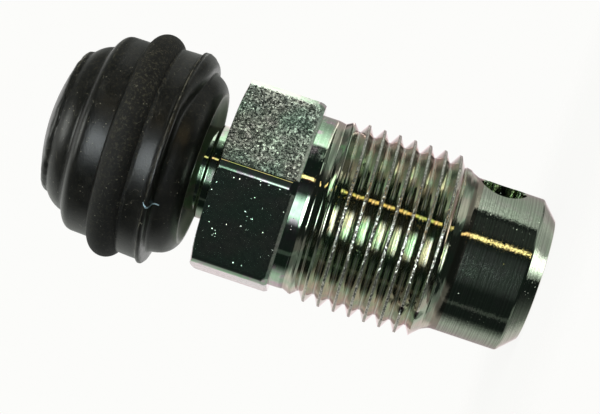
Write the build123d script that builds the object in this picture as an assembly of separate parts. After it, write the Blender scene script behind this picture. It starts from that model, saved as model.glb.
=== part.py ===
from build123d import *
import math
import os

# Bleeder screw with its rubber dust cap, standing on the flat end of its nose.
# The origin is the centre of that end face, and +Z runs along the axis to the cap.
# All lengths are millimetres and all angles degrees.

# Nose: flat end, conical seat, plain cylinder with the cross-drilled outlet
nose_end_radius = 3.91
nose_below_crests = 0.955
seat_angle = 45.0
nose_length = 5.31
relief_length = 0.81
outlet_radius = 1.45
outlet_height = 3.70
outlet_direction = -20.4

# Thread M12 x 1, drawn as the cylinder over its crests, with its lead-in and its run-out
thread_radius = 5.925
thread_pitch = 1.0
crest_length = 7.55
lead_in_depth = 0.46
run_out_length = 0.45
shank_length = 1.16

# A rolled thread rises from a blank of its pitch radius, which stays bare on the shank.
# The nose is turned down so that it passes through the tapped hole.
shank_radius = thread_radius - 0.325 * thread_pitch
nose_radius = thread_radius - nose_below_crests

# Spanner hexagon: its corners are turned down, with a flat chamfer at the nipple's side
# and a short break towards the thread
hex_across_flats = 11.87
hex_corner_turning = 0.173
hex_length = 5.03
hex_chamfer_angle = 12.5
hex_break_depth = 0.19
hex_break_length = 0.38

# Hose nipple: collar, neck, barb and tapered tip
collar_radius = 3.05
collar_length = 0.95
neck_radius = 2.80
neck_length = 4.75
barb_radius = 3.25
barb_land = 0.35
tip_radius = 2.35
tip_length = 3.40
tip_edge_break = 0.25

# Fluid passage: blind axial bore from the tip down to the outlet hole
bore_radius = 1.25
bore_below_outlet = 0.70
drill_point_angle = 118.0

# Dust cap: its fit on the nipple
cap_bore_clearance = 0.05
cap_end_clearance = 0.10
cap_gap_to_hex = 1.16

# Dust cap: mouth with a funnel-shaped recess inside its rim, and the shoulder above it
mouth_radius = 5.09
mouth_rim_width = 0.34
mouth_recess_depth = 1.00
mouth_length = 0.94
shoulder_radius = 5.88

# Dust cap: flash lip on the mould's parting line, lower band, bead and upper band
lip_height = 1.90
lip_radius = 6.92
lip_edge = 0.20
lip_root = 0.50
lip_foot_radius = 6.05
lower_band_radius = 6.73
lower_band_draft = 0.07
bead_height = 4.46
bead_radius = 7.31
bead_width = 1.95
bead_crest_width = 1.56
bead_crest_height = 0.36
upper_band_radius = 6.42
upper_band_draft = 0.04

# Dust cap: the step above the upper band, the tapered flank and the domed end
step_drop = 2.52
step_radius = 5.46
step_length = 0.64
end_radius = 4.52
dome_height = 1.02
cap_end_wall = 1.22

# The hexagon's turned corners, from the sharp corners of its flats
hex_corner_radius = hex_across_flats / math.sqrt(3) - hex_corner_turning

# Heights worked out from the lengths above
relief_top = nose_length + relief_length
thread_bottom = relief_top + lead_in_depth
thread_top = thread_bottom + crest_length
shank_bottom = thread_top + run_out_length
hex_bottom = shank_bottom + shank_length
hex_top = hex_bottom + hex_length
collar_top = hex_top + collar_length
barb_bottom = collar_top + neck_length
barb_crest = barb_bottom + barb_radius - neck_radius
nipple_top = barb_crest + barb_land + tip_length
cap_bottom = hex_top + cap_gap_to_hex
cap_bore_radius = barb_radius + cap_bore_clearance
cap_bore_top = nipple_top + cap_end_clearance
cap_top = cap_bore_top + cap_end_wall


def turned(lines):
    """The solid that an outline of radius against height, closed by a straight line, sweeps round Z."""
    end, start = lines[-1] @ 1, lines[0] @ 0
    if (end - start).length > 0:
        lines = lines + [Line(end, start)]
    return revolve(Plane.XZ * make_face(Curve() + lines), Axis.Z)


def nose():
    """Conical seat and plain nose, up to the tapered relief that runs into the thread."""
    seat_height = (nose_radius - nose_end_radius) / math.tan(math.radians(seat_angle))
    side = Polyline(
        (0, 0),
        (nose_end_radius, 0),
        (nose_radius, seat_height),
        (nose_radius, nose_length),
        (thread_radius - lead_in_depth, relief_top),
        (0, relief_top),
    )
    return turned([side])


def thread_and_shank():
    """The cylinder over the thread's crests between its lead-in and run-out, and the bare shank."""
    side = Polyline(
        (0, relief_top),
        (thread_radius - lead_in_depth, relief_top),
        (thread_radius, thread_bottom),
        (thread_radius, thread_top),
        (shank_radius, shank_bottom),
        (shank_radius, hex_bottom),
        (0, hex_bottom),
    )
    return turned([side])


def hexagon():
    """The spanner hexagon: its six flats, cut back by the turned outline of break, corners and chamfer."""
    flats = RegularPolygon(hex_across_flats / 2, 6, major_radius=False, rotation=30)
    prism = extrude(Plane.XY.offset(hex_bottom) * flats, hex_length)
    rim_radius = hex_across_flats / 2
    chamfer_height = (hex_corner_radius - rim_radius) * math.tan(math.radians(hex_chamfer_angle))
    side = Polyline(
        (0, hex_bottom),
        (hex_corner_radius - hex_break_depth, hex_bottom),
        (hex_corner_radius, hex_bottom + hex_break_length),
        (hex_corner_radius, hex_top - chamfer_height),
        (rim_radius, hex_top),
        (0, hex_top),
    )
    return prism & turned([side])


def nipple():
    """Collar, neck, barb and tapered tip of the hose nipple, on top of the hexagon."""
    side = Polyline(
        (0, hex_top),
        (collar_radius, hex_top),
        (collar_radius, collar_top),
        (neck_radius, collar_top),
        (neck_radius, barb_bottom),
        (barb_radius, barb_crest),
        (barb_radius, barb_crest + barb_land),
        (tip_radius, nipple_top - tip_edge_break),
        (tip_radius - tip_edge_break, nipple_top),
        (0, nipple_top),
    )
    return turned([side])


def fluid_passage():
    """The axial bore with its drill point, and the radial outlet hole that meets it."""
    bore_bottom = outlet_height - bore_below_outlet
    point_depth = bore_radius / math.tan(math.radians(drill_point_angle / 2))
    drill = Polyline(
        (0, bore_bottom - point_depth),
        (bore_radius, bore_bottom),
        (bore_radius, nipple_top),
        (0, nipple_top),
    )
    angle = math.radians(outlet_direction)
    outward = (math.cos(angle), math.sin(angle), 0)
    outlet = extrude(Plane((0, 0, outlet_height), z_dir=outward) * Circle(outlet_radius), thread_radius)
    return turned([drill]) + outlet


def bleeder_screw():
    """The whole turned screw with its bore and its outlet."""
    return nose() + thread_and_shank() + hexagon() + nipple() - fluid_passage()


def cap_side():
    """The cap's outer side, from the rim of its mouth over the lip, both bands and the bead."""
    lip_middle = cap_bottom + lip_height
    bead_middle = cap_bottom + bead_height
    crest_foot = bead_radius - bead_crest_height
    crest_start = (crest_foot, bead_middle - bead_crest_width / 2)
    crest_end = (crest_foot, bead_middle + bead_crest_width / 2)
    side = Polyline(
        (mouth_radius, cap_bottom),
        (shoulder_radius, cap_bottom + mouth_length),
        (lip_foot_radius, lip_middle - lip_root / 2),
        (lip_radius, lip_middle - lip_edge / 2),
        (lip_radius, lip_middle + lip_edge / 2),
        (lower_band_radius + lower_band_draft / 2, lip_middle + lip_root / 2),
        (lower_band_radius - lower_band_draft / 2, bead_middle - bead_width / 2),
        crest_start,
    )
    crest = ThreePointArc(crest_start, (bead_radius, bead_middle), crest_end)
    flank = Line(crest_end, (upper_band_radius + upper_band_draft / 2, bead_middle + bead_width / 2))
    return [side, crest, flank]


def cap_end():
    """The upper band, the step in from it, the tapered flank and the dome that closes the cap."""
    step_height = cap_top - step_drop
    band_start = (upper_band_radius + upper_band_draft / 2, cap_bottom + bead_height + bead_width / 2)
    band_end = (upper_band_radius - upper_band_draft / 2, step_height - step_length)
    step_foot = (step_radius, step_height)
    end_edge = (end_radius, cap_top - dome_height)
    dome_radius = (end_radius**2 + dome_height**2) / (2 * dome_height)
    return [
        Polyline(band_start, band_end, step_foot, end_edge),
        RadiusArc(end_edge, (0, cap_top), -dome_radius),
    ]


def cap_inside():
    """The bore that fits over the nipple, and the funnel-shaped recess inside the rim of the mouth."""
    side = Polyline(
        (0, cap_top),
        (0, cap_bore_top),
        (cap_bore_radius, cap_bore_top),
        (cap_bore_radius, cap_bottom + mouth_recess_depth),
        (mouth_radius - mouth_rim_width, cap_bottom),
    )
    return [side]


def dust_cap():
    """The whole moulded cap."""
    return turned(cap_side() + cap_end() + cap_inside())


os.makedirs("parts", exist_ok=True)
for name, solid in {"bleeder_screw": bleeder_screw(), "dust_cap": dust_cap()}.items():
    export_step(solid, f"parts/{name}.step")
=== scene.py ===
# %% [markdown]
# # A brake bleeder valve with its rubber dust cap
# The valve is one turned and plated steel screw with a fine rolled thread, and a moulded rubber cap that is
# pushed over its hose nipple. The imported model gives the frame: where each body is, and how large everything
# may be. The meshes made here stand in that frame, in metres, so nothing is fitted afterwards.

# %% Load the frame
import math

import bpy
from mathutils import Matrix, Vector, noise


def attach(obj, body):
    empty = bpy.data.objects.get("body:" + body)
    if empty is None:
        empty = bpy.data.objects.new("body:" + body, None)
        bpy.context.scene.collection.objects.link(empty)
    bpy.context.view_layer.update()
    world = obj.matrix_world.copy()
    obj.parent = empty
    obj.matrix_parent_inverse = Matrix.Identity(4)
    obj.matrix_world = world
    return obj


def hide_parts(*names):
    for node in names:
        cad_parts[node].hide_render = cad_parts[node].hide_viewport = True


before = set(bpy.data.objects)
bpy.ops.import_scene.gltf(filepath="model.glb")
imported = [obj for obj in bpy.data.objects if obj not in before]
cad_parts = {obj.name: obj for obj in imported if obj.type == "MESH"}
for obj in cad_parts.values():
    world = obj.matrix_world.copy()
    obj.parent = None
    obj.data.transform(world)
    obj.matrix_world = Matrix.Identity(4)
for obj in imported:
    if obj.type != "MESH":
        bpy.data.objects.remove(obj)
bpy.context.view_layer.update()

MM = 0.001

# %% [markdown]
# ## Directions
# The valve stands on its nose, and the photograph was taken square to its axis, from 6 degrees off -Y
# towards -X. Places on it could be given as X and Y, but a turned part is easier to read by angle. So each
# one is named by its angle round the axis from that view: 0 faces the viewer, 90 is the edge that lies
# towards +X, and -90 is the edge towards -X.

# %% Angles round the axis
VIEW = math.radians(-96.0)


def around(angle):
    """The direction in XY of a place this many degrees round from the viewer's side."""
    return Vector((math.cos(VIEW + math.radians(angle)), math.sin(VIEW + math.radians(angle)), 0.0))


def place(angle, radius, height):
    """A point in millimetres."""
    return around(angle) * radius + Vector((0.0, 0.0, height))


print("towards the viewer:", [round(c, 3) for c in around(0)])

# %% [markdown]
# ## Sizes
# A turned part is read from its end: each length follows the last one up the axis. The numbers are
# millimetres, as on a drawing, and every helper turns them into metres only when it makes a mesh.

# %% Sizes of the screw
STEPS = 144  # faces round the screw
NOSE_END_R, NOSE_R, SEAT_TOP, NOSE_TOP = 3.91, 4.97, 1.06, 5.25
THREAD_R, PITCH, THREAD_PHASE = 5.925, 1.0, 0.867
CREST_FLAT, CREST_ROUND, ROOT_ROUND, FLANK = 0.10, 0.05, 0.08, math.radians(30.35)
FADE_START, FADE_LENGTH, FADE_SHIFT = 13.0, 1.7, 0.35
SHANK_R, SHANK_FOOT, HEX_BOTTOM, HEX_TOP = 5.6, 15.2, 15.74, 20.77
HEX_FLATS, HEX_CORNER_R, HEX_CHAMFER = 11.87, 6.68, 12.5
HEX_BREAK_DEPTH, HEX_BREAK_LENGTH = 0.19, 0.38
COLLAR_R, COLLAR_TOP, NECK_R = 3.05, 21.55, 2.80
BARB_FOOT, BARB_R, BARB_CREST, BARB_LAND, TIP_R, TIP_TOP = 26.47, 3.25, 26.92, 0.35, 2.35, 30.67
BORE_R, BORE_FOOT, BORE_POINT = 1.25, 3.0, 0.75
OUTLET_R, OUTLET_Z, OUTLET_ANGLE = 1.45, 3.70, 75.6
print("screw:", TIP_TOP, "mm long, thread", 2 * THREAD_R, "mm over its crests")

# %% [markdown]
# ## Working in edit mode from a script
# Operators act on what is selected, so every helper first deselects all and then picks what it means. A
# mesh could also be written from lists of points and faces, but these steps are the ones that a hand takes.
# A lathe profile is a plane merged to one vertex, extruded point by point, then spun.

# %% Select one object
def only(obj):
    """Selects this object alone and makes it active."""
    bpy.ops.object.select_all(action="DESELECT")
    obj.select_set(True)
    bpy.context.view_layer.objects.active = obj
    return obj


# %% Draw a profile
def profile(name, points):
    """A chain of edges through (radius, height) points in millimetres, in the XZ plane."""
    bpy.ops.object.select_all(action="DESELECT")
    bpy.ops.mesh.primitive_plane_add(size=MM)
    obj = bpy.context.object
    obj.name = obj.data.name = name
    bpy.ops.object.mode_set(mode="EDIT")
    bpy.ops.mesh.select_mode(type="VERT")
    bpy.ops.mesh.select_all(action="SELECT")
    bpy.ops.mesh.merge(type="CENTER")
    at = Vector((0.0, 0.0, 0.0))
    for i, (r, z) in enumerate(points):
        to = Vector((r * MM, 0.0, z * MM))
        if i == 0:
            bpy.ops.transform.translate(value=to - at)
        else:
            bpy.ops.mesh.extrude_vertices_move(TRANSFORM_OT_translate={"value": to - at})
        at = to
    bpy.ops.object.mode_set(mode="OBJECT")
    return obj


# %% Merge doubled points
SAME_PLACE = 0.0005 * MM  # points nearer than this are one point


def outward(obj):
    """Merges doubled points and turns every face outwards."""
    only(obj)
    bpy.ops.object.mode_set(mode="EDIT")
    bpy.ops.mesh.select_all(action="SELECT")
    bpy.ops.mesh.remove_doubles(threshold=SAME_PLACE)
    bpy.ops.mesh.normals_make_consistent(inside=False)
    bpy.ops.mesh.select_all(action="DESELECT")
    bpy.ops.object.mode_set(mode="OBJECT")
    return obj


# %% Apply a modifier, and say what was made
def apply_modifier(obj, kind, **settings):
    """Adds a modifier with these settings and applies it."""
    only(obj)
    modifier = obj.modifiers.new(kind.lower(), kind)
    for key, value in settings.items():
        setattr(modifier, key, value)
    bpy.ops.object.modifier_apply(modifier=modifier.name)
    return obj


def report(obj):
    """Prints what was made."""
    obj.data.calc_loop_triangles()
    print(obj.name, "triangles:", len(obj.data.loop_triangles))


# %% [markdown]
# ## The thread
# The real thread is rolled: dies press the roots into a plain blank and raise the crests, so both are
# slightly rounded and the blank stays bare towards the hexagon. Stacked rings would have no lead, and a bump
# in the material has no outline, so one pitch of the profile is screwed upwards by the Screw modifier, which
# keeps every crest a clean helix. A point near each end of a flank holds it straight between its rounds.
# The flanks stand a third of a degree over the nominal 30: at exactly 30 the groove mirrors a window as one
# broad patch, and in the photograph it breaks into bars.

# %% One pitch of the thread's side
FLANK_HOLD = 0.02


def thread_side():
    """Half a pitch, from the middle of the crest down the flank to the middle of the root."""
    turns = [FLANK * 2 * i / 3 for i in range(4)]
    crest = [
        (THREAD_R - CREST_ROUND * (1 - math.cos(a)), CREST_FLAT / 2 + CREST_ROUND * math.sin(a))
        for a in turns
    ]
    across_root = [(ROOT_ROUND * (1 - math.cos(a)), PITCH / 2 - ROOT_ROUND * math.sin(a)) for a in turns]
    low, high = across_root[-1], crest[-1]
    root_r = high[0] - (low[1] - high[1]) / math.tan(FLANK) - low[0]
    root = [(root_r + r, z) for r, z in reversed(across_root)]
    hold_r, hold_z = FLANK_HOLD * math.cos(FLANK), FLANK_HOLD * math.sin(FLANK)
    flank = [(high[0] - hold_r, high[1] + hold_z), (root[0][0] + hold_r, root[0][1] - hold_z)]
    return [(THREAD_R, 0.0)] + crest + flank + root


def thread_pitch_points(bottom):
    """One pitch from root to root round the crest at this height."""
    side = thread_side()
    return [(r, bottom - z) for r, z in reversed(side)] + [(r, bottom + z) for r, z in side[1:]]


print("points in one pitch:", len(thread_pitch_points(0.0)))

# %% Screw it up the shank
first_crest = math.floor(NOSE_TOP - 1) + THREAD_PHASE - 1
turns = math.ceil(SHANK_FOOT - first_crest) + 1
thread = profile("thread", thread_pitch_points(first_crest))
apply_modifier(
    thread, "SCREW", axis="Z", angle=2 * math.pi, screw_offset=PITCH * MM, iterations=turns,
    steps=STEPS, render_steps=STEPS,
)
outward(thread)
report(thread)

# %% [markdown]
# ## Ends and nicks of the thread
# The lead-in is turned, so it cuts the first crests down along a curve. The last turns fade into the blank,
# a little later on one side. Two crests near the nose carry a nick each. Sculpting would do this by hand,
# but the same stroke can be written down: each point moves towards the axis by where it is.

# %% Two small sums
def clamp(x):
    """Keeps a number between 0 and 1."""
    return max(0.0, min(1.0, x))


def ease(x):
    """Runs smoothly from 0 to 1."""
    x = clamp(x)
    return x * x * (3 - 2 * x)


print("eased:", [round(ease(i / 4), 2) for i in range(5)])

# %% Form the two ends and the nicks
LEAD_SLOPE, LEAD_CURVE = 0.13, 0.485
NICK_SHARE, NICK_REACH = 0.045, 0.38
NICKS = [place(-47.8, 5.93, height) for height in (7.51, 6.57)]


def thread_ends(co):
    """The radius of a thread point after the lead-in is turned and the run-out is formed."""
    r, z = math.hypot(co.x, co.y) / MM, co.z / MM
    towards_top = co.xy.normalized().dot(around(90).xy)
    fade = clamp((z - FADE_START - FADE_SHIFT * (1 - towards_top) / 2) / FADE_LENGTH)
    t = max(0.0, z - NOSE_TOP)
    return min(r + (SHANK_R - r) * fade, NOSE_R + LEAD_SLOPE * t + LEAD_CURVE * t * t)


for v in thread.data.vertices:
    k = thread_ends(v.co) / (math.hypot(v.co.x, v.co.y) / MM)
    nearest = min((v.co / MM - nick).length for nick in NICKS)
    k *= 1 - NICK_SHARE * ease(1 - nearest / NICK_REACH)
    v.co.x, v.co.y = v.co.x * k, v.co.y * k
print("nicks at:", [[round(c, 2) for c in nick] for nick in NICKS])

# %% Cut both rims of the thread level
only(thread)
bpy.ops.object.mode_set(mode="EDIT")
for height, inner, outer in ((NOSE_TOP - 0.05, True, False), (SHANK_FOOT, False, True)):
    bpy.ops.mesh.select_all(action="SELECT")
    bpy.ops.mesh.bisect(
        plane_co=(0, 0, height * MM), plane_no=(0, 0, 1), clear_inner=inner, clear_outer=outer,
        threshold=SAME_PLACE,
    )
bpy.ops.object.mode_set(mode="OBJECT")
report(thread)

# %% [markdown]
# ## The turned body
# Everything else that is round comes from two profiles: the nose below the thread, and from the shank
# over the nipple and back down the bore above it. Stacked cylinders would hide faces inside each other, so
# the open rims are bridged to the thread instead, which closes the body into one skin, as the real screw is
# one piece of steel.

# %% Spin a profile round the axis
def lathe(name, points, steps=STEPS):
    """Turns a profile once round the Z axis."""
    obj = only(profile(name, points))
    bpy.ops.object.mode_set(mode="EDIT")
    bpy.ops.mesh.select_all(action="SELECT")
    bpy.ops.mesh.spin(steps=steps, angle=2 * math.pi, center=(0, 0, 0), axis=(0, 0, 1))
    bpy.ops.object.mode_set(mode="OBJECT")
    return outward(obj)


def held(points, gap=0.03):
    """Adds a point close to both ends of each long line, so that its faces keep straight shading."""
    out = [points[0]]
    for (r0, z0), (r1, z1) in zip(points, points[1:]):
        length = math.hypot(r1 - r0, z1 - z0)
        if length > 5 * gap:
            dr, dz = (r1 - r0) * gap / length, (z1 - z0) * gap / length
            out += [(r0 + dr, z0 + dz), (r1 - dr, z1 - dz)]
        out.append((r1, z1))
    return out


print("a held line:", held([(0, 0), (1, 0)]))

# %% Join objects
def join(into, *others):
    """Joins objects into one, which keeps its name."""
    only(into)
    for other in others:
        other.select_set(True)
    bpy.ops.object.join()
    return into


# %% Nose, shank, nipple and bore
nose = lathe("nose", held([
    (0, 0), (NOSE_END_R - 0.08, 0), (NOSE_END_R + 0.03, 0.03),
    (NOSE_R - 0.05, SEAT_TOP - 0.06), (NOSE_R - 0.01, SEAT_TOP + 0.02), (NOSE_R, SEAT_TOP + 0.09),
    (NOSE_R, NOSE_TOP - 0.2),
]))
upper = lathe("upper", held([
    (SHANK_R, SHANK_FOOT + 0.15), (SHANK_R, HEX_BOTTOM - 0.1), (SHANK_R, HEX_BOTTOM + 0.3),
    (COLLAR_R + 0.1, HEX_BOTTOM + 0.6), (COLLAR_R + 0.1, HEX_TOP - 0.2), (COLLAR_R + 0.1, HEX_TOP),
    (COLLAR_R + 0.03, HEX_TOP + 0.03), (COLLAR_R, HEX_TOP + 0.1),
    (COLLAR_R, COLLAR_TOP - 0.12), (COLLAR_R - 0.035, COLLAR_TOP - 0.035), (COLLAR_R - 0.12, COLLAR_TOP),
    (NECK_R + 0.06, COLLAR_TOP), (NECK_R + 0.015, COLLAR_TOP + 0.02), (NECK_R, COLLAR_TOP + 0.08),
    (NECK_R, BARB_FOOT - 0.05), (NECK_R + 0.04, BARB_FOOT + 0.03),
    (BARB_R - 0.04, BARB_CREST - 0.03), (BARB_R, BARB_CREST + 0.05), (BARB_R, BARB_CREST + BARB_LAND),
    (TIP_R, TIP_TOP - 0.25), (TIP_R - 0.07, TIP_TOP - 0.07), (TIP_R - 0.25, TIP_TOP),
    (BORE_R + 0.1, TIP_TOP), (BORE_R, TIP_TOP - 0.1), (BORE_R, BORE_FOOT), (0, BORE_FOOT - BORE_POINT),
]))
screw = join(nose, thread, upper)
screw.name = screw.data.name = "screw_steel"
report(screw)

# %% Bridge the open rims
def bridge(obj, low, high):
    """Bridges the two open rims that lie between these heights."""
    only(obj)
    bpy.ops.object.mode_set(mode="EDIT")
    bpy.ops.mesh.select_mode(type="EDGE")
    bpy.ops.mesh.select_all(action="DESELECT")
    bpy.ops.mesh.select_non_manifold(
        extend=False, use_wire=False, use_multi_face=False, use_non_contiguous=False, use_verts=False,
    )
    bpy.ops.object.mode_set(mode="OBJECT")
    mesh = obj.data
    picked = []
    for edge in mesh.edges:
        z = sum(mesh.vertices[v].co.z for v in edge.vertices) / 2 / MM
        edge.select = edge.select and low < z < high
        if edge.select:
            picked.append(edge)
    for v in mesh.vertices:
        v.select = False
    for face in mesh.polygons:
        face.select = False
    for edge in picked:
        for v in edge.vertices:
            mesh.vertices[v].select = True
    bpy.ops.object.mode_set(mode="EDIT")
    bpy.ops.mesh.bridge_edge_loops()
    bpy.ops.object.mode_set(mode="OBJECT")
    print("bridged", len(picked), "edges near", round((low + high) / 2, 2), "mm")


bridge(screw, NOSE_TOP - 0.3, NOSE_TOP)
bridge(screw, SHANK_FOOT - 0.1, SHANK_FOOT + 0.25)
outward(screw)
report(screw)

# %% [markdown]
# ## The spanner hexagon
# A hexagon bar is turned down over its corners. A six-sided cylinder cut by a cone would have knife edges, so
# it is made as it is turned: at each place the bar reaches out as far as its flat does, or as far as the
# turned outline does if that is less, and a smooth least of the two rounds the edges between them. The lathe
# was set a little off the bar's centre, so the six corner bands differ in width.

# %% How far the hexagon reaches
HEX_STEPS = 720
OFF_CENTRE = around(-44.5) * 0.05
EDGE_ROUND, FLAT_BREAK_DEPTH, FLAT_BREAK_LENGTH = 0.035, 0.10, 0.20
rim = HEX_FLATS / 2
rise = (HEX_CORNER_R - rim) * math.tan(math.radians(HEX_CHAMFER))


def smooth_least(a, b, soft):
    """The lesser of two lengths, rounded where they meet."""
    blend = clamp(0.5 + (b - a) / soft / 2)
    return b + (a - b) * blend - soft * blend * (1 - blend)


def turned_outline(z):
    """How far the turned corners reach out at this height."""
    if z > HEX_TOP - rise:
        return rim + (HEX_TOP - z) / math.tan(math.radians(HEX_CHAMFER))
    return HEX_CORNER_R - HEX_BREAK_DEPTH * clamp(1 - (z - HEX_BOTTOM) / HEX_BREAK_LENGTH)


def hexagon_reach(co):
    """How far the hexagon reaches out at this place."""
    angle, z = math.atan2(co.y, co.x), co.z / MM
    from_flat = (angle + math.pi / 6) % (math.pi / 3) - math.pi / 6
    across = rim - FLAT_BREAK_DEPTH * clamp(1 - (z - HEX_BOTTOM) / FLAT_BREAK_LENGTH)
    shift = OFF_CENTRE.dot(Vector((co.x, co.y, 0)).normalized())
    return smooth_least(across / math.cos(from_flat), turned_outline(z) + shift, EDGE_ROUND)


print("reach over a corner:", round(hexagon_reach(place(6, 1, 18) * MM), 2), "mm")

# %% Join or cut with a tool
def combine(obj, tool, operation):
    """Joins the tool to the object, or cuts it out or down to it, and throws the tool away."""
    apply_modifier(obj, "BOOLEAN", object=tool, operation=operation, solver="EXACT")
    bpy.data.objects.remove(tool)
    return outward(obj)


# %% Make the hexagon and join it
low_rows = [0, 0.03, 0.08, 0.14, 0.19, 0.22, 0.28, 0.33, 0.37, 0.40, 0.46]
high_rows = [0.40, 0.30, 0.22, 0.18, 0.15, 0.12, 0.095, 0.075, 0.055, 0.04, 0.025, 0.012, 0]
rows = [HEX_BOTTOM + row for row in low_rows] + [HEX_TOP - row for row in high_rows]
hexagon = lathe("hexagon", [(0, HEX_BOTTOM)] + [(rim, z) for z in rows] + [(0, HEX_TOP)], steps=HEX_STEPS)
for v in hexagon.data.vertices:
    r = math.hypot(v.co.x, v.co.y)
    if r > 0.5 * rim * MM:
        k = hexagon_reach(v.co) * MM / r
        v.co.x, v.co.y = v.co.x * k, v.co.y * k
report(hexagon)
combine(screw, hexagon, "UNION")
report(screw)

# %% [markdown]
# ## The outlet hole
# Brake fluid leaves the bore through one hole drilled across the nose. A plain cylinder would leave a knife
# edge round it, so the drill is a lathe shape of its own, with a flare that breaks the edge. It is laid
# along the hole's direction and cut out.

# %% Outlet
DRILL_STEPS = 64
drill = lathe("drill", [
    (0, 0), (OUTLET_R, 0), (OUTLET_R, NOSE_R - 0.12), (OUTLET_R + 0.04, NOSE_R), (OUTLET_R + 0.4, NOSE_R + 1),
    (0, NOSE_R + 1),
], steps=DRILL_STEPS)
only(drill)
drill.rotation_euler = (0, math.radians(90), VIEW + math.radians(OUTLET_ANGLE))
drill.location = (0, 0, OUTLET_Z * MM)
bpy.ops.object.transform_apply(location=True, rotation=True, scale=True)
combine(screw, drill, "DIFFERENCE")
only(screw)
bpy.ops.object.shade_smooth_by_angle(angle=math.radians(32))
report(screw)

# %% [markdown]
# ## The dust cap
# The cap is moulded rubber, so its section is all soft rounds: a shoulder at the mouth, a flange of flash on
# the mould's parting line, two bands with a bead between them, and a domed end with a thin disc of flash.
# A sphere could be pushed into shape, but the mould was turned, so a profile of points and arcs fits it.

# %% Sizes of the cap
CAP_STEPS = 192
CAP_MOUTH, CAP_BORE_R, CAP_BORE_TOP, CAP_TOP = 21.93, 3.30, 30.77, 31.99
LIP_TOP, LIP_R, LOWER_BAND_R = 24.05, 6.93, 6.74
BEAD_LOW, BEAD_HIGH, BEAD_RISE = 25.41, 27.36, 0.74
UPPER_BAND_R, STEP_R, STEP_TOP = 6.42, 5.46, 29.47
DISC_R, DISC_FOOT, DISC_TOP = 4.60, 30.80, 31.15
print("cap:", round(CAP_TOP - CAP_MOUTH, 2), "mm tall")

# %% Points on a round
def arc(start, end, bulge, count):
    """Points on the round from start to end that rises by bulge to the left of its chord, ends left out."""
    (r0, z0), (r1, z1) = start, end
    half = math.hypot(r1 - r0, z1 - z0) / 2
    radius = (half * half + bulge * bulge) / (2 * bulge)
    way = 1 if bulge > 0 else -1
    turn = 2 * math.asin(half / abs(radius)) * way
    along = Vector(((r1 - r0) / 2 / half, (z1 - z0) / 2 / half))
    left = Vector((-along.y, along.x))
    middle = Vector(((r0 + r1) / 2, (z0 + z1) / 2)) + left * (bulge - radius)
    points = []
    for i in range(1, count):
        a = turn * (i / count - 0.5)
        p = middle + left * radius * math.cos(a) + along * abs(radius) * math.sin(a) * way
        points.append((p.x, p.y))
    return points


print("a round of three points:", [(round(r, 2), round(z, 2)) for r, z in arc((0, 0), (4, 0), 1, 4)])

# %% Turn the cap's profile
bead_foot, bead_head = (LOWER_BAND_R - 0.035, BEAD_LOW), (UPPER_BAND_R + 0.02, BEAD_HIGH)
cap = lathe("cap_rubber", [
    (0, CAP_BORE_TOP), (CAP_BORE_R, CAP_BORE_TOP), (CAP_BORE_R, 22.95), (4.70, 22.03), (4.78, 21.95),
    (4.86, CAP_MOUTH), (4.98, CAP_MOUTH), (5.09, 21.97),
    *arc((5.09, 21.97), (5.84, 22.75), -0.10, 7), (5.84, 22.75),
    (5.87, 22.85), (5.92, 23.00), (5.97, 23.20), (6.00, 23.38), (6.04, 23.49), (6.12, 23.57),
    (6.22, 23.60), (6.35, 23.62), (6.48, 23.64), (6.60, 23.66), (6.70, 23.68), (6.78, 23.70), (6.85, 23.73),
    (6.90, 23.77), (LIP_R, 23.82), (LIP_R + 0.005, 23.90), (LIP_R, 23.97), (6.90, 24.01), (6.84, 24.03),
    (6.79, LIP_TOP), (LOWER_BAND_R + 0.02, LIP_TOP + 0.06), (LOWER_BAND_R + 0.01, 24.3), (LOWER_BAND_R, 24.7),
    (LOWER_BAND_R - 0.02, 25.2), (LOWER_BAND_R - 0.035, 25.34),
    bead_foot, *arc(bead_foot, bead_head, -BEAD_RISE, 22), bead_head,
    (UPPER_BAND_R + 0.01, 27.5), (UPPER_BAND_R, 28.2), (6.41, 28.62), (6.37, 28.80), (6.29, 28.95),
    (6.17, 29.08), (6.02, 29.19), (5.84, 29.29), (5.62, 29.38), (5.52, 29.42), (STEP_R, STEP_TOP),
    *arc((STEP_R, STEP_TOP), (4.62, 30.72), -0.15, 9), (4.62, 30.72),
    (4.61, 30.77), (DISC_R, DISC_FOOT + 0.03), (DISC_R - 0.02, DISC_FOOT + 0.13), (4.50, 31.04),
    (4.36, DISC_TOP),
    *arc((4.36, DISC_TOP), (0, CAP_TOP), -0.2, 10), (0, CAP_TOP),
], steps=CAP_STEPS)
report(cap)

# %% [markdown]
# ## Out of true
# Nothing moulded in rubber is quite round. Outside its bore the cap leans by under a degree towards one
# side and by two degrees away from the viewer, as it sat in the photograph. Its flash flange is thicker on
# the side that it leans to, and the thin disc of flash on the end has a ragged edge. A Displace modifier
# would shake all of it alike, so the points are moved by where they are on the cap.

# %% Lean, thick flash and ragged edges
LEAN = math.tan(math.radians(0.86))
TILT = math.tan(math.radians(2.0))
BORE_GUARD_R = 3.5  # nothing inside this radius moves, so the cap still fits its nipple


def wander(v, scale, seed):
    """Smooth noise from -1 to 1 over a point in millimetres."""
    return noise.noise(v * scale + Vector((seed, 2 * seed, -seed)))


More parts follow.
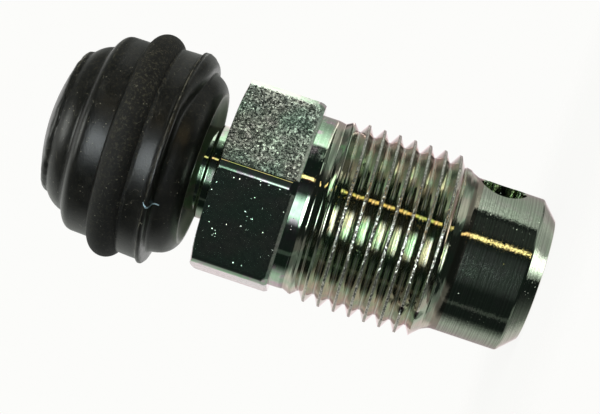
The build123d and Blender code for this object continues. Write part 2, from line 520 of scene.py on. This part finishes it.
def cap_shape(p):
    """Where a point of the turned cap lies on the real one, in millimetres."""
    r = math.hypot(p.x, p.y)
    if r < BORE_GUARD_R and p.z < CAP_BORE_TOP + 0.1:
        return p
    out = Vector((p.x, p.y, 0.0)).normalized() if r > 0.01 else Vector((0.0, 0.0, 0.0))
    side = out.dot(around(90))
    thick = ease((side - 0.35) / 0.65)
    q = p.copy()
    # on its thick side the flange reaches further down
    if 22.76 < p.z < 23.95 and r > 5.85:
        full = 22.78 + (p.z - 22.78) * 0.3 if r < 6.03 else 22.96 + 0.80 * clamp((r - 5.95) / 1.0) ** 3.4
        q.z += thick * (min(full, p.z) - p.z)
    # the rim of the flange
    if 23.6 < p.z < 24.08 and r > 6.7:
        q += out * (0.05 * thick + 0.025 * wander(p, 1.1, 3.0) + 0.012 * wander(p, 3.5, 5.0))
        q.z += 0.03 * wander(p, 0.9, 8.0)
    # the disc of flash on the end
    if DISC_FOOT - 0.12 < p.z < DISC_TOP + 0.05 and r > 4.3:
        q += out * (0.10 * wander(p, 0.8, 1.0) + 0.04 * wander(p, 3.0, 4.0) + 0.06 * thick)
        q.z += 0.06 * wander(p, 1.2, 6.0)
    # slightly out of round, then the lean
    q += out * 0.012 * wander(p, 0.35, 9.0)
    q += around(90) * LEAN * (p.z - CAP_MOUTH) - around(0) * TILT * (p.z - CAP_MOUTH)
    q.z += TILT * p.dot(around(0))
    return q


for v in cap.data.vertices:
    v.co = cap_shape(v.co / MM) * MM
only(cap)
bpy.ops.object.shade_smooth_by_angle(angle=math.radians(40))
report(cap)

# %% [markdown]
# ## Sums with sockets
# A material is a formula over the surface. This class wraps a node's output, so that a formula is written as
# Python and each sign adds one Math node. Any other node comes from one method, which takes the node's type,
# its settings and the values or links of its sockets.

# %% A socket that can be added and multiplied
class Sock:
    """An output socket in its graph."""

    def __init__(self, graph, socket):
        self.graph, self.socket = graph, socket

    def math(self, operation, *others):
        """One Math node on this socket."""
        return self.graph.node("ShaderNodeMath", {"operation": operation}, self, *others)

    def __add__(self, other):
        return self.math("ADD", other)

    def __sub__(self, other):
        return self.math("SUBTRACT", other)

    def __rsub__(self, other):
        return self.graph.node("ShaderNodeMath", {"operation": "SUBTRACT"}, other, self)

    def __mul__(self, other):
        return self.math("MULTIPLY", other)

    def __truediv__(self, other):
        return self.math("DIVIDE", other)

    __radd__, __rmul__ = __add__, __mul__

    def step(self, low, high):
        """Rises smoothly from 0 at low to 1 at high, or falls where low is above high."""
        if low > high:
            return 1 - self.step(high, low)
        settings = {"interpolation_type": "SMOOTHSTEP", "clamp": True}
        return self.graph.node("ShaderNodeMapRange", settings, self, low, high, 0.0, 1.0)

    def band(self, low, high, soft):
        """Is 1 from low to high and falls to 0 over the soft width outside them."""
        return self.step(low - soft, low) * self.step(high + soft, high)

    def vector(self, operation, *others):
        """One Vector Math node on this socket."""
        return self.graph.node("ShaderNodeVectorMath", {"operation": operation}, self, *others)

    def number(self, operation, *others):
        """Vector maths that gives a number, such as a dot product or a distance."""
        return Sock(self.graph, self.vector(operation, *others).socket.node.outputs["Value"])

    def scaled(self, factor):
        """A vector times a number."""
        return self.graph.node("ShaderNodeVectorMath", {"operation": "SCALE"}, self, Scale=factor)


# %% A graph that adds nodes
class Graph:
    """The nodes of one material or of the world."""

    def __init__(self, tree):
        self.tree = tree
        tree.nodes.clear()

    def put(self, socket, value):
        """Links a socket or sets its value."""
        if isinstance(value, Sock):
            self.tree.links.new(value.socket, socket)
        else:
            socket.default_value = value

    def node(self, kind, settings=None, *values, out=0, **named):
        """Adds a node: its settings first, then its sockets in order, then those given by name."""
        node = self.tree.nodes.new(kind)
        for key, value in (settings or {}).items():
            setattr(node, key, value)
        for socket, value in zip(node.inputs, values):
            self.put(socket, value)
        for key, value in named.items():
            self.put(node.inputs[key.replace("_", " ")], value)
        return Sock(self, node.outputs[out])

    def mix(self, factor, a, b):
        """Blends two colours."""
        node = self.tree.nodes.new("ShaderNodeMix")
        node.data_type = "RGBA"
        self.put(node.inputs[0], factor)
        for socket, colour in ((node.inputs[6], a), (node.inputs[7], b)):
            self.put(socket, colour if isinstance(colour, Sock) else (*colour, 1.0))
        return Sock(self, node.outputs[2])

    def parts(self, vector):
        """The three components of a vector."""
        node = self.node("ShaderNodeSeparateXYZ", {}, vector).socket.node
        return [Sock(self, socket) for socket in node.outputs]

    def noise(self, at, scale, detail=2.0, roughness=0.5):
        """Noise over a vector, given in cycles per unit."""
        return self.node("ShaderNodeTexNoise", {}, Vector=at, Scale=scale, Detail=detail, Roughness=roughness)

    def line_noise(self, at, scale, detail=2.0, roughness=0.5):
        """Noise along one value."""
        return self.node(
            "ShaderNodeTexNoise", {"noise_dimensions": "1D"}, W=at, Scale=scale, Detail=detail,
            Roughness=roughness,
        )

    def cells(self, at, scale):
        """A random vector for each small cell, from -0.5 to 0.5, and the distance to the cell's middle."""
        node = self.node("ShaderNodeTexVoronoi", {}, Vector=at, Scale=scale).socket.node
        tilt = Sock(self, node.outputs["Color"]).vector("SUBTRACT", (0.5, 0.5, 0.5))
        return tilt, Sock(self, node.outputs["Distance"])

    def surface(self, shader, output="ShaderNodeOutputMaterial"):
        """Ends the graph and prints its size."""
        node = self.tree.nodes.new(output)
        self.tree.links.new(shader.socket, node.inputs["Surface"])
        print("nodes in this graph:", len(self.tree.nodes))


# %% A new material, and places on it in millimetres
def material(name):
    """A material and its empty graph."""
    m = bpy.data.materials.new(name)
    m.use_nodes = True
    return m, Graph(m.node_tree)


def millimetres(g):
    """Object coordinates in millimetres, their parts, and the distance from the axis."""
    mm = g.node("ShaderNodeTexCoord", out=3).scaled(1 / MM)  # output 3 is Object
    x, y, z = g.parts(mm)
    return mm, x, y, z, (x * x + y * y).math("SQRT")


# %% [markdown]
# ## Plated steel
# Zinc plate with a clear passivation shines like dark silver with a green and pink cast. Turned faces carry
# rings of tool marks, the hexagon is grainy, more so on its flats towards +X, and the thread's crests are
# scuffed. A band on those flats is painted lighter, as a painted highlight; the two nicks are painted
# near-black; and everything above the hexagon is painted a darker green, as painted shade inside the cap. A
# bump map would give soft dents, but this grain glitters, so it is drawn as small facets: every little cell
# tips the mirror its own way, and a few cells tip it a good deal.

# %% Steel: where each finish lies
plated_steel, g = material("plated_steel")
mm, x, y, z, radius = millimetres(g)
on_hexagon = z.band(HEX_BOTTOM + 0.05, HEX_TOP - 0.02, 0.03) * radius.step(5.75, 5.9)
from_middle = (y.math("ARCTAN2", x) * math.degrees(1)).math("PINGPONG", 30.0)
on_flat = on_hexagon * from_middle.step(28.0, 26.5)
across = mm.number("DOT_PRODUCT", around(90))
rough_flat = on_flat * across.step(-0.3, 0.3)
on_crest = radius.step(THREAD_R - 0.028, THREAD_R - 0.010) * z.band(6.3, 14.6, 0.2)
on_thread = z.band(5.4, 14.8, 0.2)
on_nose = z.step(5.4, 5.1)
print("places of each finish:", len(g.tree.nodes), "nodes")

# %% Steel: colours of the plate
PALE_GREEN, DEEP_GREEN, PINK = (0.66, 0.78, 0.66), (0.50, 0.76, 0.53), (0.78, 0.64, 0.72)
WARM_OLIVE, COOL_OLIVE, NOSE_GREY = (0.78, 0.76, 0.60), (0.64, 0.77, 0.59), (0.68, 0.77, 0.62)
COOL_GRAIN, WARM_GRAIN, DARK_GRAIN = (0.58, 0.80, 0.64), (0.74, 0.76, 0.66), (0.30, 0.36, 0.36)
# Among these colours are a painted highlight for the hexagon's flats, painted shade for everything above the
# hexagon, and the near-black painted into the two nicks.
HIGHLIGHT_PAINT, RELIEF_BROWN, CREST_BUFF = (0.98, 1.0, 0.86), (0.50, 0.42, 0.34), (0.78, 0.77, 0.70)
NIPPLE_SHADE_PAINT, NICK_BLACK, TOOL_LINE = (0.16, 0.24, 0.15), (0.02, 0.02, 0.02), (0.25, 0.28, 0.22)
patches = g.noise(mm, 0.8, 2.0)
blush = g.noise(mm, 1.3, 2.0)
clouds = g.noise(mm, 0.45, 1.0)
colour = g.mix(patches.step(0.40, 0.60), PALE_GREEN, DEEP_GREEN)
colour = g.mix(blush.step(0.52, 0.66) * 0.8, colour, PINK)
olive = g.mix(patches.step(0.42, 0.62), WARM_OLIVE, COOL_OLIVE)
colour = g.mix(on_thread * 0.85, colour, olive)
colour = g.mix(on_nose * 0.8, colour, NOSE_GREY)
print("plate colours mixed so far:", len(g.tree.nodes), "nodes")

# %% Steel: grain, crests, a painted highlight, painted shade above the hexagon, dark nicks
grain = g.noise(mm, 5.0, 3.0, 0.7)
grainy = g.mix(clouds.step(0.38, 0.62), COOL_GRAIN, WARM_GRAIN)
grainy = g.mix(grain.step(0.55, 0.35) * 0.5, grainy, DARK_GRAIN)
# painted highlight: a band on the flats towards +X is lightened towards near-white, standing in for a
# reflection
painted_highlight = rough_flat * across.band(2.3, 3.3, 1.3)
grainy = g.mix(painted_highlight * 0.5, grainy, HIGHLIGHT_PAINT)
colour = g.mix(on_flat * 0.85, colour, grainy)
colour = g.mix(z.band(5.05, 5.45, 0.12) * 0.8, colour, RELIEF_BROWN)
colour = g.mix(on_crest * 0.7, colour, CREST_BUFF)
# painted shade: everything above the hexagon is darkened to a dull green, for the shade inside the cap
colour = g.mix(z.step(HEX_TOP + 0.02, HEX_TOP + 0.1) * 0.6, colour, NIPPLE_SHADE_PAINT)
# the two nicks are painted near-black
for nick in NICKS:
    away = mm.number("DISTANCE", nick)
    colour = g.mix(away.step(0.40, 0.26), colour, NICK_BLACK)

# %% Steel: facets, dots, specks and tool marks
tilt, _ = g.cells(mm, 7.0)
fine_tilt, _ = g.cells(mm, 16.0)
dot_tilt, dot_distance = g.cells(mm, 5.5)
speck_tilt, _ = g.cells(mm, 24.0)
dot = dot_distance.step(0.40, 0.24) * rough_flat
speck = g.parts(speck_tilt)[0].step(0.493, 0.498)
rings = g.line_noise(z, 7.0, 3.0, 0.7) - 0.5
coarse = on_flat * 0.04 + rough_flat * 0.08 + on_crest * 0.25 + on_nose * 0.008 + 0.003
normal = g.node("ShaderNodeNewGeometry", out=1)  # output 1 is Normal
normal = normal.vector("ADD", tilt.scaled(coarse))
normal = normal.vector("ADD", fine_tilt.scaled(0.006 + on_flat * 0.06 + on_crest * 0.5 + on_nose * 0.030))
normal = normal.vector("ADD", dot_tilt.scaled(dot * 0.36))
normal = normal.vector("ADD", speck_tilt.scaled(speck * (0.5 - on_thread * 0.2)))
ring_tilt = g.node("ShaderNodeCombineXYZ", {}, 0.0, 0.0, rings * (0.02 + on_thread * 0.20))
normal = normal.vector("ADD", ring_tilt).vector("NORMALIZE")
print("with facets and tool marks:", len(g.tree.nodes), "nodes")

# %% Steel: its shader
rough = 0.05 + on_crest * 0.20 + on_flat * 0.10 + on_nose * 0.03
lines = g.line_noise(z, 9.0, 3.0, 0.7).step(0.62, 0.40)
colour = g.mix(lines * (0.15 + on_nose * 0.25) * (1 - on_hexagon), colour, TOOL_LINE)
GRAZING_PINK = (1.0, 0.82, 0.90, 1.0)
shader = g.node(
    "ShaderNodeBsdfPrincipled", {}, Base_Color=colour, Metallic=1.0, Roughness=rough, Normal=normal,
    Specular_Tint=GRAZING_PINK,
)
g.surface(shader)

# %% [markdown]
# ## Rubber
# Moulded black rubber that has been handled: the bands keep a soft shine, the bead is rubbed matt, brown dust
# lies in its pores, the thin edges of flash are grey with it, and a fibre clings to the front. The funnel in
# the mouth is painted pale grey: painted light that stands in for light thrown up from the floor. One even
# black would look like plastic, so dust, wear and shine each get a mask of their own.
# The fibre could be a curve, but it is so thin that paint along two straight lengths will do.

# %% Rubber: black, worn and dusty
CAP_HALF, BAND_ARC_R = 7.0, 6.75
NEW_BLACK, WORN_BLACK, DUST = (0.0042, 0.0045, 0.0038), (0.0085, 0.0085, 0.007), (0.055, 0.050, 0.032)
black_rubber, g = material("black_rubber")
mm, _, _, z, radius = millimetres(g)
on_bead = z.band(BEAD_LOW + 0.10, BEAD_HIGH - 0.10, 0.2)
side = mm.number("DOT_PRODUCT", around(90)) / CAP_HALF
front = mm.number("DOT_PRODUCT", around(0)) / CAP_HALF
mottle = g.noise(mm, 1.2, 3.0)
fine = g.noise(mm, 9.0, 3.0, 0.6)
grime = g.noise(mm, 6.0, 3.0, 0.65).step(0.50, 0.66)
# the dust mask is weighted towards +X, on the bead and over the cap, which makes that side lighter
grime = grime * (0.10 + on_bead * (0.2 + side.step(-0.6, 0.5) * 0.35) + side.step(0.0, 0.9) * 0.3)
colour = g.mix(mottle.step(0.4, 0.7), NEW_BLACK, WORN_BLACK)
colour = g.mix(grime, colour, DUST)
print("rubber and its dust:", len(g.tree.nodes), "nodes")

# %% Rubber: grains, scratches and edges of flash
# The funnel colour here is painted light: a pale grey that stands in for light thrown up from the floor.
GREY_DUST, FUNNEL_LIGHT_PAINT, FIBRE_BLUE = (0.20, 0.19, 0.14), (0.42, 0.40, 0.33), (0.32, 0.46, 0.52)
_, grain_distance = g.cells(mm, 3.2)
grains = grain_distance.step(0.13, 0.08) * g.noise(mm, 1.6, 1.0).step(0.50, 0.60)
scratch = 1 - (g.noise(mm, 1.1, 2.0) - 0.5).math("ABSOLUTE").step(0.0, 0.006)
scratch = scratch * g.noise(mm, 2.3, 1.0).step(0.56, 0.62)
level = z - front * CAP_HALF * TILT
lip = radius.step(6.82, 6.87) * level.band(23.96, 24.00, 0.03)
band_end = radius.band(6.28, 6.34, 0.04) * level.band(28.84, 28.90, 0.03)
disc = radius.band(4.50, 4.70, 0.03) * level.band(30.92, 30.98, 0.04)
edges = (lip + band_end * 0.6 + disc) * g.noise(mm, 3.0, 3.0, 0.6).step(0.35, 0.6) * 0.45
light = grains.math("MAXIMUM", scratch * 0.5).math("MAXIMUM", edges)
colour = g.mix(light, colour, GREY_DUST)
# painted light: the funnel in the mouth is painted pale grey, standing in for light thrown up from the floor
painted_funnel_light = level.step(22.60, 22.30) * radius.step(5.02, 4.95)
colour = g.mix(painted_funnel_light, colour, FUNNEL_LIGHT_PAINT)
print("grains, scratches and edges:", len(g.tree.nodes), "nodes")

# %% Rubber: one fibre in two straight lengths
FIBRE = ((24.26, -3.19), (24.01, -3.41), (23.40, -3.50))  # height and way round, in millimetres
arc_side = side.math("ARCTAN2", front) * BAND_ARC_R
fibre = 0.0
for (z0, s0), (z1, s1) in zip(FIBRE, FIBRE[1:]):
    span = math.hypot(z1 - z0, s1 - s0)
    dz, ds = (z1 - z0) / span, (s1 - s0) / span
    along = (z - z0) * dz + (arc_side - s0) * ds
    off = ((z - z0) * ds - (arc_side - s0) * dz).math("ABSOLUTE")
    fibre = along.band(0, span, 0.03) * off.step(0.07, 0.035) + fibre
colour = g.mix(fibre * radius.step(5.6, 5.7), colour, FIBRE_BLUE)
print("fibre:", len(FIBRE) - 1, "lengths")

# %% Rubber: its shader
rough = 0.25 + mottle * 0.14 + on_bead * 0.42
height = fine * (0.009 + on_bead * 0.011) + grains * 0.01
normal = g.node("ShaderNodeBump", {}, Strength=1.0, Distance=MM, Height=height)
shader = g.node(
    "ShaderNodeBsdfPrincipled", {}, Base_Color=colour, Roughness=rough, IOR=1.55, Normal=normal,
)
g.surface(shader)

# %% [markdown]
# ## Hand the pieces to the frame
# The imported model holds a plain solid for each piece. The new mesh takes that solid's place in the picture
# and its body, with a material of its own, so the cap comes off the nipple when its joint moves. Parenting by
# hand would look the same here, but the frame would not know of it.

# %% Material, slot and body of each piece
def dress(obj, finish, node, body):
    """Gives a piece its material and hands it to the frame."""
    obj.data.materials.clear()
    obj.data.materials.append(finish)
    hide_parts(node)
    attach(obj, body)
    print(obj.name, "stands for", node, "and rides on", body)


dress(screw, plated_steel, "bleeder_screw", "screw")
dress(cap, black_rubber, "dust_cap", "cap")

# %% [markdown]
# ## Camera
# The photograph was taken square to the valve with a long lens, and the valve lies across it, its axis
# 18.5 degrees below the horizontal with the cap at the left. The camera could be moved until it looks right,
# but here it is worked out from what was measured: where it looks, its roll, and millimetres to a pixel.

# %% Camera
DISTANCE, FOOT_Z, AIM_Z, AIM_SIDE = 128.7, 12.0, 15.4, -0.34
ROLL = math.radians(18.5)
PX, IMAGE_WIDTH = 0.0628, 600
side = around(90)
eye = place(0, DISTANCE, FOOT_Z)
aim = Vector((0, 0, AIM_Z)) + side * AIM_SIDE
towards = (eye - aim).normalized()
up_axis = (Vector((0, 0, 1)) - towards * towards.z).normalized()
across = up_axis.cross(towards)
right = across * math.sin(ROLL) - up_axis * math.cos(ROLL)
up = across * math.cos(ROLL) + up_axis * math.sin(ROLL)
camera_data = bpy.data.cameras.new("camera")
camera = bpy.data.objects.new("camera", camera_data)
bpy.context.scene.collection.objects.link(camera)
camera.matrix_world = Matrix.Translation(eye * MM) @ Matrix((right, up, towards)).transposed().to_4x4()
camera_data.sensor_width = 36.0
camera_data.lens = DISTANCE / PX / IMAGE_WIDTH * camera_data.sensor_width
camera_data.clip_start, camera_data.clip_end = 0.001, 10.0
bpy.context.scene.camera = camera
print("lens:", round(camera_data.lens, 1), "mm")

# %% [markdown]
# ## Studio
# Polished metal shows the room, so the room is drawn with care. A picture of a real studio would do, but
# this file reads none, so the world is written as bands of two angles: round the valve from the viewer,
# and up from the horizon. Pale walls stand at both sides of the valve. The side of the viewer is dark, with
# a window of three panes near the lens, a narrow warm tube lamp, a dim streak and soft strips of light.
# Straight behind the valve, mirrors see the same white that the camera sees.

# %% The room: each direction as two angles
PAPER_WHITE = (0.973, 0.973, 0.956)
WINDOW_WHITE, TUBE_GOLD = (0.94, 1.02, 1.04), (2.6, 1.9, 0.85)
world = bpy.data.worlds.new("studio")
bpy.context.scene.world = world
world.use_nodes = True
g = Graph(world.node_tree)
direction = g.node("ShaderNodeTexCoord", out=0)  # output 0 is the direction, in a world
turned = g.node("ShaderNodeVectorRotate", {"rotation_type": "Z_AXIS"}, direction, Angle=-VIEW)
x, y, z = g.parts(turned)
angle = g.node("ShaderNodeMath", {"operation": "ARCTAN2"}, y, x) * math.degrees(1)
height = z.math("ARCSINE") * math.degrees(1)
print("turned to the viewer by", round(math.degrees(VIEW), 1), "degrees")

# %% The room: pale walls above and below, and two spots
past_edge = angle - height.math("MINIMUM", 15.0).math("MAXIMUM", -15.0) * 1.1
level = height.step(8, 4.5)
near_edge = past_edge.step(122, 80) * height.step(-6, 3) * level
above = 0.08 + 0.28 * height.step(-30, -48) + 0.27 * height.step(-22, -8) * level
above = above + 0.25 * height.step(1.6, 3.2) * level + near_edge
above = above * past_edge.step(77.5, 81.5) + past_edge.step(52, 80) * height.band(2.4, 4.0, 0.8) * 0.9
below = angle.step(-94, -125) * height.step(-80, -10) * (0.40 + 0.18 * height.step(-3, 1))
spots = 0.0
for centre, outer, inner, strength in (
    ((-0.06, 0.24, -0.966), 0.23, 0.06, 2.4),
    ((0.22, -0.08, 0.97), 0.34, 0.12, 4.0),
):
    away = turned.number("DISTANCE", centre)
    spots = away.step(outer, inner) * strength + spots
print("walls and spots:", len(g.tree.nodes), "nodes")

# %% The room: window, lamps and strips
panes = height.band(0.9, 2.2, 1.6) * 1.6 + height.band(2.4, 5.0, 0.4) * 0.45
panes = panes + height.band(5.4, 14, 0.6) * 12.0
window = angle.band(-17, -5, 17) * panes
glow = angle.band(-30, 12, 14) * height.band(-6, 16, 4) * 0.022
wall = angle.band(44, 62, 8) * height.step(-0.5, -3.5) * 0.02
lamp = angle.band(46, 60, 3) * height.band(24, 34, 3) * 0.8
streak = angle.band(-75, -71, 2) * 0.05
sides = (angle.band(58, 112, 14) + angle.band(-112, -58, 14)) * 0.12
behind = angle.math("ABSOLUTE").step(135, 150) * 0.28
strips = (sides + behind) * (height.band(-50, -14, 5) + height.band(17, 50, 5) * 0.8)
light = above + below + spots + lamp + streak + wall + strips
print("window, lamps and strips:", len(g.tree.nodes), "nodes")

# %% The room: its colours
red, green, blue = light + 0.011, light * 1.03 + 0.014, light * 0.97 + 0.013
room = g.node("ShaderNodeCombineColor", {}, red, green, blue)
room = room.vector("ADD", g.mix(1.0, (0, 0, 0), WINDOW_WHITE).scaled(window + glow))
tube = angle.band(30.4, 33.0, 1.2) * height.band(-30, 6, 5)
room = room.vector("ADD", g.mix(tube, (0, 0, 0), TUBE_GOLD))

# %% The backdrop: white to the camera, and white in mirrors straight behind the valve
paths = g.node("ShaderNodeLightPath").socket.node.outputs
camera_ray, glossy_ray, transmission_ray = (
    Sock(g, paths[name]) for name in ("Is Camera Ray", "Is Glossy Ray", "Is Transmission Ray")
)
mirrored = glossy_ray.math("MAXIMUM", transmission_ray)
backdrop = angle.math("ABSOLUTE").step(162, 174) * height.band(-55, 55, 10)
final = g.mix(camera_ray.math("MAXIMUM", mirrored * backdrop), room, PAPER_WHITE)
g.surface(g.node("ShaderNodeBackground", {}, final, 1.0), "ShaderNodeOutputWorld")
bpy.context.scene.view_settings.view_transform = "Standard"

# %% [markdown]
# ## Fill light
# The dark side of the room would leave matt surfaces black. A brighter room would spoil the reflections, so
# a soft lamp near the lens brings matt surfaces to the level at which a colour looks as it is written, and
# polished faces don't mirror it.

# %% Fill lamp
fill_data = bpy.data.lights.new("fill", "SUN")
fill_data.energy, fill_data.angle = 2.2, math.radians(60)
fill = bpy.data.objects.new("fill", fill_data)
bpy.context.scene.collection.objects.link(fill)
fill.rotation_euler = place(25, 1, 0.5).to_track_quat("Z", "Y").to_euler()
fill.visible_glossy = False
print("fill:", round(fill_data.energy, 1), "from", [round(math.degrees(a)) for a in fill.rotation_euler])

# %% [markdown]
# ## Floor
# The floor is a pale disc under the nose that fades out before its rim, and it is clear from below. A white
# plane with bright lamps would burn out, so to the camera it glows nearly as white as the background, with a
# little of its own shading left, which keeps the shadow.

# %% Floor
GLOW_SHARE, FLOOR_R = 0.94, 32


def pale_floor():
    """Paint and glow that fade out towards the rim, and nothing from below."""
    m, g = material("pale_floor")
    _, _, _, _, radius = millimetres(g)
    seen = g.node("ShaderNodeLightPath", out=0)  # output 0 is Is Camera Ray
    paint = g.node("ShaderNodeBsdfDiffuse", {}, Color=(0.80, 0.80, 0.79, 1.0))
    glow = g.node("ShaderNodeEmission", {}, Color=(*PAPER_WHITE, 1.0), Strength=1.0)
    clear = g.node("ShaderNodeBsdfTransparent", {})
    paper = g.node("ShaderNodeMixShader", {}, seen * GLOW_SHARE, paint, glow)
    upper_side = 1 - g.node("ShaderNodeNewGeometry", out=6)  # output 6 is Backfacing
    g.surface(g.node("ShaderNodeMixShader", {}, radius.step(30, 11) * upper_side, clear, paper))
    return m


bpy.ops.object.select_all(action="DESELECT")
bpy.ops.mesh.primitive_circle_add(vertices=96, radius=FLOOR_R * MM, fill_type="NGON", location=(0, 0, 0))
floor = bpy.context.object
floor.name = floor.data.name = "floor"
floor.data.materials.append(pale_floor())
floor.visible_glossy = False

# %% [markdown]
# ## Finish
# The view layer is brought up to date.

# %% Finish
bpy.context.view_layer.update()
